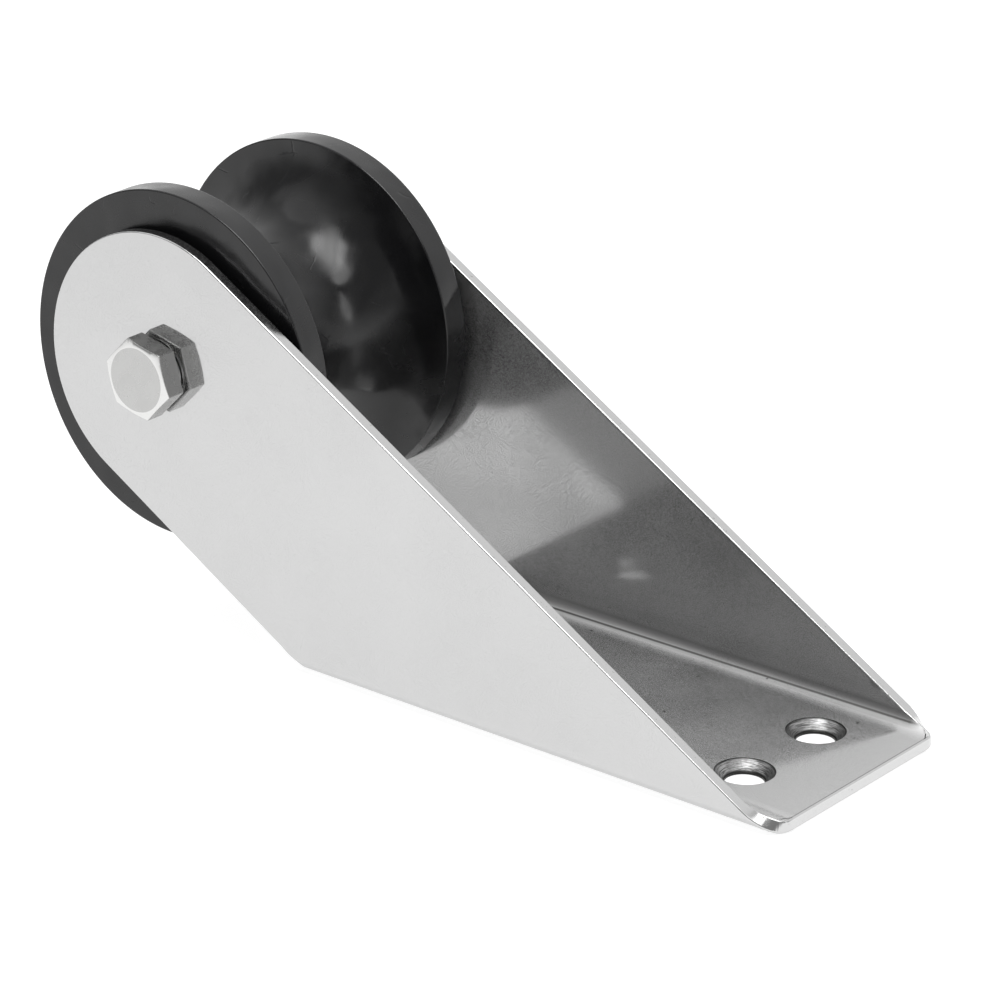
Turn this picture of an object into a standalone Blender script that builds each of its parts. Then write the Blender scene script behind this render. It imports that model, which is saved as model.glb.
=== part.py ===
"""Small fixed bow roller: a folded stainless bracket, a grooved roller and its bolted axle.

Metres, +Z up. +X points forward to the roller and +Y to port. The origin lies in the middle of
the deck face, which is the underside of the base plate. Each turned piece is modelled along its
own Y axis and then set on the axle line.
"""
import bmesh
import bpy
from math import atan2, copysign, cos, pi, radians, sin, tan
from mathutils import Matrix, Vector

MM = 0.001

# Clearance between pieces that touch or run on each other
SEAT_GAP = 0.3 * MM

# Points of the flat blank that lie closer than this become one
CLOSE_POINTS = 0.1 * MM

# Bracket: one blank of polished sheet, folded up on both sides
BASE_LENGTH = 132.0 * MM
BRACKET_WIDTH = 66.0 * MM
SHEET = 3.0 * MM
BEND_INSIDE = 2.5 * MM
ARM_ANGLE = radians(30.0)
EAR_RADIUS = 32.0 * MM
EAR_RISE = 1.0 * MM
REAR_CORNER = 4.0 * MM
FRONT_CORNER = 3.0 * MM

# Axle line, measured from the front edge and the underside of the base
AXLE_REACH = 42.5 * MM
AXLE_HEIGHT = 63.0 * MM

# Countersunk fixing holes: a pair at the rear and one in front
FIXING_HOLE = 8.8 * MM
COUNTERSINK = 13.6 * MM
REAR_HOLE_INSET = 21.3 * MM
REAR_HOLE_SPACING = 26.8 * MM
FRONT_HOLE_INSET = 25.3 * MM

# Roller: two flat rims with a round groove between them
ROLLER_DIAMETER = 83.0 * MM
RIM_WIDTH = 6.8 * MM
GROOVE_DEPTH = 20.5 * MM
RIM_ROUNDING = 0.7 * MM
BORE_EDGE = 0.6 * MM

# Bearings between the roller and the axle
THRUST_WASHER = 1.6 * MM
THRUST_WASHER_DIAMETER = 30.0 * MM
SLEEVE_WALL = 1.7 * MM
BUSH_WALL = 2.7 * MM
BUSH_LENGTH = 16.0 * MM
BUSH_SHOULDER = 1.6 * MM

# Small bevel on the corners of the turned rings
EDGE_BREAK = 0.3 * MM

# Axle bolt, washer and self-locking nut of the M10 size. The bolt's length follows from what it
# clamps and from the end that stands out of the nut.
BOLT_DIAMETER = 10.0 * MM
BOLT_END = 6.1 * MM
BOLT_POINT = 1.0 * MM
ACROSS_FLATS = 17.0 * MM
HEAD_HEIGHT = 6.4 * MM
BEARING_FACE = 0.6 * MM
BEARING_INSET = 0.5 * MM
CHAMFER_INSET = 0.4 * MM
HEX_CHAMFER = radians(30.0)
HEAD_TURN = radians(13.0)
WASHER_DIAMETER = 20.0 * MM
WASHER_THICKNESS = 2.0 * MM
NUT_HEIGHT = 10.0 * MM
NUT_HEX_HEIGHT = 6.6 * MM
NUT_TURN = radians(22.0)
INSERT_HEIGHT = 1.9 * MM
INSERT_WALL = 1.5 * MM
COLLAR_WALL = 0.8 * MM
COLLAR_LIP = 0.5 * MM
COLLAR_END = 0.6 * MM

# Facets round the turned pieces, down the groove, round the folds and along the arcs
ROLLER_FACETS = 72
FASTENER_FACETS = 48
GROOVE_FACETS = 24
FOLD_FACETS = 6
ARC_STEP = radians(6.0)
ROUNDING_ANGLES = (radians(30.0), radians(60.0), radians(90.0))
SHARP_ANGLE = radians(35.0)

X_REAR = -BASE_LENGTH / 2
X_FRONT = BASE_LENGTH / 2
BEND_OUTSIDE = BEND_INSIDE + SHEET
BEND_MIDDLE = BEND_INSIDE + SHEET / 2
BEND_ARC = BEND_MIDDLE * pi / 2
FLAT_HALF = BRACKET_WIDTH / 2 - BEND_OUTSIDE
CHEEK_OUTSIDE = BRACKET_WIDTH / 2
CHEEK_INSIDE = CHEEK_OUTSIDE - SHEET

AXLE = Vector((X_FRONT + AXLE_REACH, 0.0, AXLE_HEIGHT))
SHANK_RADIUS = BOLT_DIAMETER / 2
CLEAR_BORE = SHANK_RADIUS + SEAT_GAP
SLEEVE_RADIUS = CLEAR_BORE + SLEEVE_WALL
RUNNING_BORE = SLEEVE_RADIUS + SEAT_GAP
BUSH_RADIUS = RUNNING_BORE + BUSH_WALL
ROLLER_RADIUS = ROLLER_DIAMETER / 2
ROLLER_HALF = CHEEK_INSIDE - THRUST_WASHER - 2 * SEAT_GAP
GROOVE_HALF = ROLLER_HALF - RIM_WIDTH

# Places along the axle line, where port is positive
HEAD_SEAT = CHEEK_OUTSIDE + SEAT_GAP
WASHER_SEAT = -(CHEEK_OUTSIDE + SEAT_GAP)
NUT_SEAT = WASHER_SEAT - WASHER_THICKNESS - SEAT_GAP
NUT_END = NUT_SEAT - NUT_HEIGHT
BOLT_TIP = NUT_END - BOLT_END
HEX_CORNER = ACROSS_FLATS / 2 / cos(pi / 6)

STEEL = ("polished_stainless", (0.78, 0.78, 0.79), 1.0, 0.12)
FASTENER_STEEL = ("fastener_stainless", (0.66, 0.66, 0.67), 1.0, 0.28)
BLACK_ROLLER = ("black_roller", (0.012, 0.012, 0.013), 0.0, 0.3)
WHITE_ACETAL = ("white_acetal", (0.82, 0.81, 0.77), 0.0, 0.4)
BLUE_NYLON = ("nut_nylon", (0.06, 0.16, 0.42), 0.0, 0.45)


def clear_scene():
    for old in list(bpy.data.objects):
        bpy.data.objects.remove(old, do_unlink=True)


def material(finish):
    """A Principled material, made once for each finish."""
    name, colour, metallic, roughness = finish
    found = bpy.data.materials.get(name)
    if found:
        return found
    made = bpy.data.materials.new(name)
    made.use_nodes = True
    shader = made.node_tree.nodes["Principled BSDF"]
    shader.inputs["Base Color"].default_value = (*colour, 1.0)
    shader.inputs["Metallic"].default_value = metallic
    shader.inputs["Roughness"].default_value = roughness
    return made


def make_object(name, bm, finish, place=Vector((0, 0, 0))):
    """Turn a bmesh into a named object, smooth on its round faces."""
    bmesh.ops.recalc_face_normals(bm, faces=bm.faces)
    mesh = bpy.data.meshes.new(name)
    bm.to_mesh(mesh)
    bm.free()
    mesh.shade_smooth()
    mesh.set_sharp_from_angle(angle=SHARP_ANGLE)
    mesh.materials.append(material(finish))
    made = bpy.data.objects.new(name, mesh)
    made.location = place
    bpy.context.collection.objects.link(made)
    return made


def make_cutter(name, bm, place=Vector((0, 0, 0))):
    cutter = make_object(name, bm, STEEL, place)
    cutter.hide_render = True
    cutter.display_type = "WIRE"
    return cutter


def boolean(target, tool, operation):
    step = target.modifiers.new(f"{operation.lower()}_{tool.name}", "BOOLEAN")
    step.operation = operation
    step.solver = "EXACT"
    step.object = tool


def arc_points(centre, radius, start, end):
    """Points along an arc in a plane, from one angle to another, both ends included."""
    steps = max(3, round(abs(end - start) / ARC_STEP))
    angles = [start + (end - start) * i / steps for i in range(steps + 1)]
    return [(centre[0] + radius * cos(a), centre[1] + radius * sin(a)) for a in angles]


def rounded_corner(corner, before, after, radius):
    """Arc that rounds a corner between the directions to the points before and after it."""
    corner = Vector(corner)
    to_before = (Vector(before) - corner).normalized()
    to_after = (Vector(after) - corner).normalized()
    half = to_before.angle(to_after) / 2
    centre = corner + (to_before + to_after).normalized() * (radius / sin(half))
    start = corner + to_before * (radius / tan(half)) - centre
    end = corner + to_after * (radius / tan(half)) - centre
    first = atan2(start.y, start.x)
    turn = (atan2(end.y, end.x) - first + pi) % (2 * pi) - pi
    return arc_points(centre, radius, first, first + turn)


def turned_ring(profile, facets):
    """Revolve a closed loop of (radius, along) points about the Y axis."""
    bm = bmesh.new()
    corners = [bm.verts.new((radius, along, 0.0)) for radius, along in profile]
    loop = [bm.edges.new((a, b)) for a, b in zip(corners, corners[1:] + corners[:1])]
    bmesh.ops.spin(bm, geom=corners + loop, cent=(0, 0, 0), axis=(0, 1, 0), angle=2 * pi,
                   steps=facets, use_merge=True)
    return bm


def turned_solid(profile, facets):
    """Revolve an open line of (radius, along) points that starts and ends on the Y axis."""
    bm = bmesh.new()
    corners = [bm.verts.new((radius, along, 0.0)) for radius, along in profile]
    line = [bm.edges.new((a, b)) for a, b in zip(corners, corners[1:])]
    bmesh.ops.spin(bm, geom=corners + line, cent=(0, 0, 0), axis=(0, 1, 0), angle=2 * pi,
                   steps=facets, use_merge=True)
    bmesh.ops.remove_doubles(bm, verts=bm.verts, dist=0.001 * MM)
    return bm


def tube_profile(inner, outer, low, high):
    """Loop of a plain ring with its four corners bevelled."""
    edge = EDGE_BREAK
    return [(inner, low + edge), (inner + edge, low), (outer - edge, low), (outer, low + edge),
            (outer, high - edge), (outer - edge, high), (inner + edge, high), (inner, high - edge)]


def hexagonal_prism(low, high, turn):
    """Six-sided bar of the fasteners along Y, with its first corner turned up from +X."""
    bm = bmesh.new()
    bmesh.ops.create_cone(bm, cap_ends=True, segments=6, radius1=HEX_CORNER, radius2=HEX_CORNER,
                          depth=high - low)
    to_y = Matrix.Rotation(-turn, 4, "Y") @ Matrix.Rotation(-pi / 2, 4, "X")
    stand = Matrix.Rotation(radians(30.0), 4, "Z")
    bmesh.ops.transform(bm, matrix=to_y @ stand, verts=bm.verts)
    bmesh.ops.translate(bm, vec=(0, (low + high) / 2, 0), verts=bm.verts)
    return bm


def chamfer_blank(low, high, chamfer_low, chamfer_high):
    """Turned disc whose cones take the corners off a hexagon at one end or both."""
    face_radius = ACROSS_FLATS / 2 - CHAMFER_INSET
    wide = HEX_CORNER + CHAMFER_INSET
    drop = (wide - face_radius) * tan(HEX_CHAMFER)
    profile = [(0.0, low)]
    profile += [(face_radius, low), (wide, low + drop)] if chamfer_low else [(wide, low)]
    profile += [(wide, high - drop), (face_radius, high)] if chamfer_high else [(wide, high)]
    return turned_solid(profile + [(0.0, high)], FASTENER_FACETS)


def blank_place(x, z):
    """Where a point of the upright cheek lies on the flat blank, as (x, across)."""
    return (x, FLAT_HALF + BEND_ARC + z - BEND_OUTSIDE)


def blank_half():
    """Outline of half the flat blank, from the rear edge round the ear to the front edge."""
    along = Vector((cos(ARM_ANGLE), sin(ARM_ANGLE)))
    square = Vector((-sin(ARM_ANGLE), cos(ARM_ANGLE)))
    ear = Vector(blank_place(AXLE.x, AXLE.z + EAR_RISE))
    upper = ear + square * EAR_RADIUS
    lower = ear - square * EAR_RADIUS
    rear = upper - along * ((upper.x - X_REAR) / along.x)
    front = lower - along * ((lower.x - X_FRONT) / along.x)
    outline = [(X_REAR, 0.0)]
    outline += rounded_corner(rear, (X_REAR, 0.0), upper, REAR_CORNER)
    outline += arc_points(ear, EAR_RADIUS, pi / 2 + ARM_ANGLE, ARM_ANGLE - pi / 2)
    outline += rounded_corner(front, lower, (X_FRONT, 0.0), FRONT_CORNER)
    outline += [(X_FRONT, 0.0)]
    return outline


def folded(x, across):
    """Middle of the sheet after folding, for a point of the flat blank."""
    past = abs(across) - FLAT_HALF
    if past <= 0:
        return Vector((x, across, SHEET / 2))
    angle = min(past / BEND_MIDDLE, pi / 2)
    upright = max(past - BEND_ARC, 0.0)
    y = FLAT_HALF + BEND_MIDDLE * sin(angle)
    z = SHEET / 2 + BEND_MIDDLE * (1 - cos(angle)) + upright
    return Vector((x, copysign(y, across), z))


def countersunk_cutter(name, x, y):
    """Drill and countersink of one fixing hole, standing through the base."""
    drill = FIXING_HOLE / 2
    sink = COUNTERSINK / 2
    over = SHEET
    profile = [(0.0, -over), (drill, -over), (drill, SHEET - (sink - drill)),
               (sink + over, SHEET + over), (0.0, SHEET + over)]
    bm = turned_solid(profile, FASTENER_FACETS)
    bmesh.ops.rotate(bm, cent=(0, 0, 0), matrix=Matrix.Rotation(pi / 2, 3, "X"), verts=bm.verts)
    return make_cutter(name, bm, Vector((x, y, 0.0)))


def make_bracket():
    """Flat blank cut along its fold lines, folded up, thickened and drilled."""
    half = blank_half()
    outline = half + [(x, -across) for x, across in reversed(half[1:-1])]
    bm = bmesh.new()
    bm.faces.new([bm.verts.new((x, across, 0.0)) for x, across in outline])
    for side in (-1, 1):
        for i in range(FOLD_FACETS + 1):
            fold_line = side * (FLAT_HALF + BEND_ARC * i / FOLD_FACETS)
            bmesh.ops.bisect_plane(bm, geom=bm.verts[:] + bm.edges[:] + bm.faces[:],
                                   plane_co=(0, fold_line, 0), plane_no=(0, 1, 0))
    bmesh.ops.remove_doubles(bm, verts=bm.verts, dist=CLOSE_POINTS)
    for corner in bm.verts:
        corner.co = folded(corner.co.x, corner.co.y)
    bracket = make_object("bracket", bm, STEEL)
    thicken = bracket.modifiers.new("sheet", "SOLIDIFY")
    thicken.thickness = SHEET
    thicken.offset = 0.0
    thicken.use_even_offset = True
    drill = turned_solid([(0.0, -BRACKET_WIDTH), (CLEAR_BORE, -BRACKET_WIDTH),
                          (CLEAR_BORE, BRACKET_WIDTH), (0.0, BRACKET_WIDTH)], FASTENER_FACETS)
    boolean(bracket, make_cutter("axle_drill", drill, AXLE), "DIFFERENCE")
    rear_x = X_REAR + REAR_HOLE_INSET
    holes = [("rear_port", rear_x, REAR_HOLE_SPACING / 2),
             ("rear_starboard", rear_x, -REAR_HOLE_SPACING / 2),
             ("front", X_FRONT - FRONT_HOLE_INSET, 0.0)]
    for name, x, y in holes:
        boolean(bracket, countersunk_cutter(f"{name}_hole", x, y), "DIFFERENCE")
    return bracket


def groove_points():
    """Half an ellipse from one rim down to the waist and up to the other rim."""
    angles = [pi * i / GROOVE_FACETS for i in range(GROOVE_FACETS + 1)]
    return [(ROLLER_RADIUS - GROOVE_DEPTH * sin(a), GROOVE_HALF * cos(a)) for a in angles]


def make_roller():
    """Hourglass roller with a stepped bore whose ends take the bushes."""
    seat = BUSH_RADIUS + SEAT_GAP
    middle = seat - BUSH_SHOULDER
    shoulder = ROLLER_HALF - BUSH_LENGTH - SEAT_GAP
    rounding = [(ROLLER_RADIUS - RIM_ROUNDING * (1 - sin(a)), ROLLER_HALF - RIM_ROUNDING * (1 - cos(a)))
                for a in (0.0,) + ROUNDING_ANGLES]
    port_rim = [(seat + BORE_EDGE, ROLLER_HALF)] + rounding
    starboard_rim = [(radius, -along) for radius, along in reversed(port_rim)]
    bore = [(seat, -ROLLER_HALF + BORE_EDGE), (seat, -shoulder), (middle, -shoulder),
            (middle, shoulder), (seat, shoulder), (seat, ROLLER_HALF - BORE_EDGE)]
    profile = port_rim + groove_points() + starboard_rim + bore
    return make_object("roller", turned_ring(profile, ROLLER_FACETS), BLACK_ROLLER)


def make_bush(name, side):
    outer = side * ROLLER_HALF
    inner = side * (ROLLER_HALF - BUSH_LENGTH)
    profile = tube_profile(RUNNING_BORE, BUSH_RADIUS, min(outer, inner), max(outer, inner))
    return make_object(name, turned_ring(profile, FASTENER_FACETS), WHITE_ACETAL)


def make_thrust_washer(name, side):
    near = side * (ROLLER_HALF + SEAT_GAP)
    far = side * (ROLLER_HALF + SEAT_GAP + THRUST_WASHER)
    profile = tube_profile(RUNNING_BORE, THRUST_WASHER_DIAMETER / 2, min(near, far), max(near, far))
    return make_object(name, turned_ring(profile, FASTENER_FACETS), WHITE_ACETAL, AXLE)


def make_sleeve():
    end = CHEEK_INSIDE - SEAT_GAP
    profile = tube_profile(CLEAR_BORE, SLEEVE_RADIUS, -end, end)
    return make_object("axle_sleeve", turned_ring(profile, FASTENER_FACETS), FASTENER_STEEL, AXLE)


def make_bolt():
    """Hexagon head with a chamfered top and a bearing face, on a plain shank."""
    under_head = HEAD_SEAT + BEARING_FACE
    top = HEAD_SEAT + HEAD_HEIGHT
    bolt = make_object("axle_bolt", hexagonal_prism(under_head, top, HEAD_TURN), FASTENER_STEEL, AXLE)
    blank = chamfer_blank(under_head, top, False, True)
    boolean(bolt, make_cutter("head_chamfer", blank, AXLE), "INTERSECT")
    sunk = under_head + BEARING_FACE
    bearing = ACROSS_FLATS / 2 - BEARING_INSET
    shank = turned_solid([(0.0, BOLT_TIP), (SHANK_RADIUS - BOLT_POINT, BOLT_TIP),
                          (SHANK_RADIUS, BOLT_TIP + BOLT_POINT), (SHANK_RADIUS, HEAD_SEAT),
                          (bearing, HEAD_SEAT), (bearing, sunk), (0.0, sunk)], FASTENER_FACETS)
    boolean(bolt, make_cutter("shank", shank, AXLE), "UNION")
    return bolt


def make_nut_washer():
    far = WASHER_SEAT - WASHER_THICKNESS
    profile = tube_profile(CLEAR_BORE, WASHER_DIAMETER / 2, far, WASHER_SEAT)
    return make_object("nut_washer", turned_ring(profile, FASTENER_FACETS), FASTENER_STEEL, AXLE)


def make_lock_nut():
    """Hexagon nut with a round collar, bored through and recessed for its nylon ring."""
    hex_end = NUT_SEAT - NUT_HEX_HEIGHT
    insert_radius = CLEAR_BORE + INSERT_WALL
    recess = insert_radius + SEAT_GAP
    collar = recess + COLLAR_WALL
    nut = make_object("lock_nut", hexagonal_prism(hex_end, NUT_SEAT, NUT_TURN), FASTENER_STEEL, AXLE)
    blank = chamfer_blank(hex_end, NUT_SEAT, True, True)
    boolean(nut, make_cutter("nut_chamfer", blank, AXLE), "INTERSECT")
    dome = [(collar - COLLAR_WALL * (1 - cos(a)), NUT_END + COLLAR_WALL * (1 - sin(a)))
            for a in (0.0,) + ROUNDING_ANGLES]
    root = hex_end + COLLAR_END
    crown = turned_solid([(0.0, root), (collar, root)] + dome + [(0.0, NUT_END)], FASTENER_FACETS)
    boolean(nut, make_cutter("nut_crown", crown, AXLE), "UNION")
    lip = insert_radius - COLLAR_LIP
    ceiling = NUT_END + COLLAR_END
    floor = ceiling + INSERT_HEIGHT + 2 * SEAT_GAP
    over = SHEET
    bore = turned_solid([(0.0, NUT_END - over), (lip, NUT_END - over), (lip, ceiling),
                         (recess, ceiling), (recess, floor), (CLEAR_BORE, floor),
                         (CLEAR_BORE, NUT_SEAT + over), (0.0, NUT_SEAT + over)], FASTENER_FACETS)
    boolean(nut, make_cutter("nut_bore", bore, AXLE), "DIFFERENCE")
    low = ceiling + SEAT_GAP
    ring = tube_profile(CLEAR_BORE, insert_radius, low, low + INSERT_HEIGHT)
    insert = make_object("lock_nut_insert", turned_ring(ring, FASTENER_FACETS), BLUE_NYLON, AXLE)
    return nut, insert


def make_axis_empty():
    """Empty on the axle line that carries everything that turns."""
    axis = bpy.data.objects.new("roller_axis", None)
    axis.location = AXLE
    bpy.context.collection.objects.link(axis)
    return axis


def build():
    clear_scene()
    make_bracket()
    turning = [make_roller(), make_bush("bush_port", 1), make_bush("bush_starboard", -1)]
    make_thrust_washer("thrust_washer_port", 1)
    make_thrust_washer("thrust_washer_starboard", -1)
    make_sleeve()
    make_bolt()
    make_nut_washer()
    make_lock_nut()
    axis = make_axis_empty()
    for piece in turning:
        piece.parent = axis


build()
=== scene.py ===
# %% [markdown]
# # A small bow roller
# A bow roller sits on the bow of a small boat and leads the anchor line over the edge of the deck.
# This one is a bracket folded from one polished sheet, a black roller with a round groove, a bolt
# that is its axle, and the rings and the nut that go with the bolt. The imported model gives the
# place and size of each piece. The script builds a finer piece for each one, gives it a material,
# and then sets the light and the camera.

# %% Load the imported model
from math import cos, pi, radians, sin, tan

import bmesh
import bpy
from mathutils import Matrix, Vector


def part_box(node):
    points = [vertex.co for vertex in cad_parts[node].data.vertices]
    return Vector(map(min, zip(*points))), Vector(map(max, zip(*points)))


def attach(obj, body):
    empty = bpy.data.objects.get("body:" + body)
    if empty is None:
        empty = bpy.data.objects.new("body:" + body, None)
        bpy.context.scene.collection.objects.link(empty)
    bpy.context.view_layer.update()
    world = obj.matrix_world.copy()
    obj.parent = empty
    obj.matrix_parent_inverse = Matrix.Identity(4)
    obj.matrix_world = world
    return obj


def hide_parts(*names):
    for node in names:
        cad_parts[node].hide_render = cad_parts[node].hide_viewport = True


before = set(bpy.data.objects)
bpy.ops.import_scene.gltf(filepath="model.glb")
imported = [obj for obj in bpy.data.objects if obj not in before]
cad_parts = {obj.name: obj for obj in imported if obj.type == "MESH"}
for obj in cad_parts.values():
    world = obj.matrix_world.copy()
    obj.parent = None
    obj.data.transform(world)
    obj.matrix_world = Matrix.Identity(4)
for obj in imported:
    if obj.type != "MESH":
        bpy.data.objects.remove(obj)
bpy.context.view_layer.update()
mm = 0.001

# %% [markdown]
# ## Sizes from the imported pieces
# Everything is in metres, with +X forward, +Y to port and +Z up. The origin lies in the middle of
# the base's underside. A fine piece has to lie exactly on the plain one, so its sizes are measured
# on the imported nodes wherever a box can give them.

# %% Measure the main sizes
def node_size(name):
    low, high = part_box(name)
    return high - low


roller_low, roller_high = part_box("roller")
bracket_low, bracket_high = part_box("bracket")
axle = (roller_low + roller_high) / 2
roller_radius = node_size("roller").x / 2
roller_half = node_size("roller").y / 2
sheet = 3.0 * mm
gap = 0.3 * mm
rear, front = bracket_low.x, -bracket_low.x
cheek_outside = bracket_high.y
cheek_inside = cheek_outside - sheet
print("axle at", [round(v / mm, 2) for v in axle], "mm, roller",
      round(2 * roller_radius / mm, 1), "mm")

# %% [markdown]
# ## Modelling helpers
# A bmesh is a mesh that is still being modelled. A few steps come back for nearly every piece:
# turning a profile about the axle, as a lathe does, taking the sharpness off an edge, cutting a
# mesh across with a plane, and adding or cutting one solid with another. Each gets a small
# function here.

# %% Turn a profile about a line
def turned(profile, steps=96, centre=axle, axis=(0, 1, 0)):
    """Spin (radius, along) points about a line along Y or Z; a line of points ends on the axis."""
    upright = Vector(axis).z > 0
    bm = bmesh.new()
    points = [bm.verts.new(centre + Vector((radius, 0, along) if upright else (radius, along, 0)))
              for radius, along in profile]
    is_ring = min(radius for radius, along in profile) > 0
    following = points[1:] + points[:1] if is_ring else points[1:]
    for start, end in zip(points, following):
        bm.edges.new((start, end))
    bmesh.ops.spin(bm, geom=bm.verts[:] + bm.edges[:], cent=centre, axis=axis, angle=2 * pi,
                   steps=steps, use_merge=True)
    bmesh.ops.remove_doubles(bm, verts=bm.verts, dist=0.001 * mm)
    bmesh.ops.recalc_face_normals(bm, faces=bm.faces)
    return bm


# %% Round the sharp edges of a bmesh
def soften(bm, width, segments=3, angle=40.0, keep=lambda edge: True):
    """Bevel every edge that is sharper than an angle, if keep says yes."""
    sharp = [edge for edge in bm.edges if len(edge.link_faces) == 2
             and edge.calc_face_angle(0) > radians(angle) and keep(edge)]
    bmesh.ops.bevel(bm, geom=sharp, offset=width, segments=segments, profile=0.5, affect="EDGES",
                    material=-1, clamp_overlap=True)
    return bm


# %% Cut a mesh across with a plane
def cut_across(bm, place, across, dist=0.0, clear_outer=False):
    """Add edges where a plane meets the mesh, and remove what lies beyond it if asked."""
    bmesh.ops.bisect_plane(bm, geom=bm.verts[:] + bm.edges[:] + bm.faces[:], plane_co=place,
                           plane_no=across, dist=dist, clear_outer=clear_outer)


# %% Go from a bmesh to an object, and back with its modifiers applied
def as_object(name, bm):
    """A new object in the scene whose mesh is the bmesh."""
    mesh = bpy.data.meshes.new(name)
    bm.to_mesh(mesh)
    bm.free()
    made = bpy.data.objects.new(name, mesh)
    bpy.context.scene.collection.objects.link(made)
    return made


def applied(*objects):
    """The first object's mesh after its modifiers, as a bmesh. The objects are removed."""
    result = bmesh.new()
    result.from_object(objects[0], bpy.context.evaluated_depsgraph_get())
    for used in objects:
        bpy.data.objects.remove(used, do_unlink=True)
    return result


# %% Round edges by different amounts
def ground(bm, width, share, segments=4):
    """Round the edges of a flat plate, each by a share of a width that depends on its place."""
    weight = bm.edges.layers.float.new("bevel_weight_edge")
    for edge in bm.edges:
        low, high = edge.verts[0].co, edge.verts[1].co
        if edge.calc_face_angle(0) > radians(60.0) and abs(low.z - high.z) < gap:
            edge[weight] = share((low + high) / 2)
    plate = as_object("plate", bm)
    bevel = plate.modifiers.new("ground", "BEVEL")
    bevel.limit_method, bevel.width, bevel.segments = "WEIGHT", width, segments
    return applied(plate)


# %% Add or cut one solid with another
def combined(bm, operation, *others):
    """Boolean of closed meshes: UNION, DIFFERENCE or INTERSECT, applied at once."""
    made = [as_object("shape", shape) for shape in (bm,) + others]
    for tool in made[1:]:
        step = made[0].modifiers.new(operation, "BOOLEAN")
        step.operation, step.solver, step.object = operation, "EXACT", tool
    result = applied(*made)
    bmesh.ops.remove_doubles(result, verts=result.verts, dist=0.001 * mm)
    return result


# %% [markdown]
# A finished piece's object stays at the origin, with its place in its mesh, so a pattern on Object
# coordinates turns with the roller. Weighted normals keep the large flat faces flat where a small
# rounded edge joins them, which a mirror finish would show at once.

# %% Turn a bmesh into a finished piece
def finish_piece(name, bm, body, node):
    """Make the object, smooth it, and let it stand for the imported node."""
    piece = as_object(name, bm)
    piece.data.shade_smooth()
    piece.data.set_sharp_from_angle(angle=radians(42.0))
    flat = piece.modifiers.new("flat faces stay flat", "WEIGHTED_NORMAL")
    flat.keep_sharp = True
    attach(piece, body)
    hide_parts(node)
    print(name, "has", len(piece.data.polygons), "faces")
    return piece


# %% [markdown]
# ## The bracket's flat blank
# The real bracket is cut from 3 mm stainless sheet as one flat blank: a rectangle for the base
# with a swept arm on each side that ends in a round ear. It could be modelled as three plates, but
# then the folds and the long slanted edges would have to be matched by hand. Cutting the flat
# blank first and folding it afterwards gives both for free, as it does in the workshop.

# %% Outline of half the blank
fold_inside = 2.5 * mm
fold_middle = fold_inside + sheet / 2
fold_length = fold_middle * pi / 2
flat_half = cheek_inside - fold_inside
bend_top = fold_inside + sheet
arm_angle = radians(30.0)
ear_radius = 32.0 * mm
ear_rise = 1.0 * mm

along_arm = Vector((cos(arm_angle), sin(arm_angle), 0))
across_arm = Vector((-sin(arm_angle), cos(arm_angle), 0))
ear = Vector((axle.x, flat_half + fold_length + axle.z + ear_rise - bend_top, 0))
lower, upper = ear - across_arm * ear_radius, ear + across_arm * ear_radius
front_corner = lower - along_arm * ((lower.x - front) / along_arm.x)
rear_corner = upper - along_arm * ((upper.x - rear) / along_arm.x)

blank = bmesh.new()
before = [blank.verts.new(place) for place in ((front, 0, 0), front_corner, lower)]
arc = bmesh.ops.spin(blank, geom=[before[-1]], cent=ear, axis=(0, 0, 1), angle=pi, steps=72)
end = [item for item in arc["geom_last"] if isinstance(item, bmesh.types.BMVert)][0]
after = [end] + [blank.verts.new(place) for place in (rear_corner, (rear, 0, 0))]
for chain in (before, after):
    for a, b in zip(chain, chain[1:]):
        blank.edges.new((a, b))
print("blank reaches", round(max(v.co.y for v in blank.verts) / mm, 1), "mm to each side")

# %% [markdown]
# The other half is a mirror image. The four corners of the base are rounded by a bevel on their
# vertices, whose offset runs along the edges: for a corner of 120 degrees it is the radius divided
# by the tangent of 60 degrees.

# %% Mirror the blank, fill it and round its corners
bmesh.ops.mirror(blank, geom=blank.verts[:] + blank.edges[:], matrix=Matrix.Identity(4),
                 merge_dist=0.001 * mm, axis="Y")
bmesh.ops.contextual_create(blank, geom=blank.edges[:])
for corner, radius in ((rear_corner, 4.0 * mm), (front_corner, 3.0 * mm)):
    found = [v for v in blank.verts if abs(v.co.x - corner.x) < gap
             and abs(abs(v.co.y) - corner.y) < gap]
    bmesh.ops.bevel(blank, geom=found, offset=radius / tan(radians(60.0)), offset_type="OFFSET",
                    segments=12, profile=0.5, affect="VERTICES", material=-1)
print("blank outline has", len(blank.verts), "points and", len(blank.faces), "face")

# %% [markdown]
# ## Thickness, polished edges and countersinks
# The blank gets its 3 mm by extrusion. The cut edges are ground on a belt, which rounds them by
# nearly half a millimetre: the thin bright and dark lines along the bracket's outline come from
# this rounding. The rear corners, which would catch a rope or a foot, are ground rounder still,
# most of all on the outside. So the plate is first cut across near them, to let the rounding grow
# step by step. Each face gets one of four finishes: outside, countersink, channel or edge.

# %% Thicken the blank, round its edges and mark them as ground
outside_finish, sink_finish, channel_finish, edge_finish = range(4)
cuts = [((rear + step * mm, 0, 0), (1, 0, 0)) for step in (3, 5, 7, 9, 11)]
cuts += [((0, side * (rear_corner.y - step * mm), 0), (0, 1, 0))
         for side in (1, -1) for step in (3, 5, 7)]
for place, across in cuts:
    cut_across(blank, place, across, dist=0.01 * mm)
raised = bmesh.ops.extrude_face_region(blank, geom=blank.faces[:])
bmesh.ops.translate(blank, vec=(0, 0, sheet),
                    verts=[item for item in raised["geom"] if isinstance(item, bmesh.types.BMVert)])
bmesh.ops.recalc_face_normals(blank, faces=blank.faces)


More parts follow.
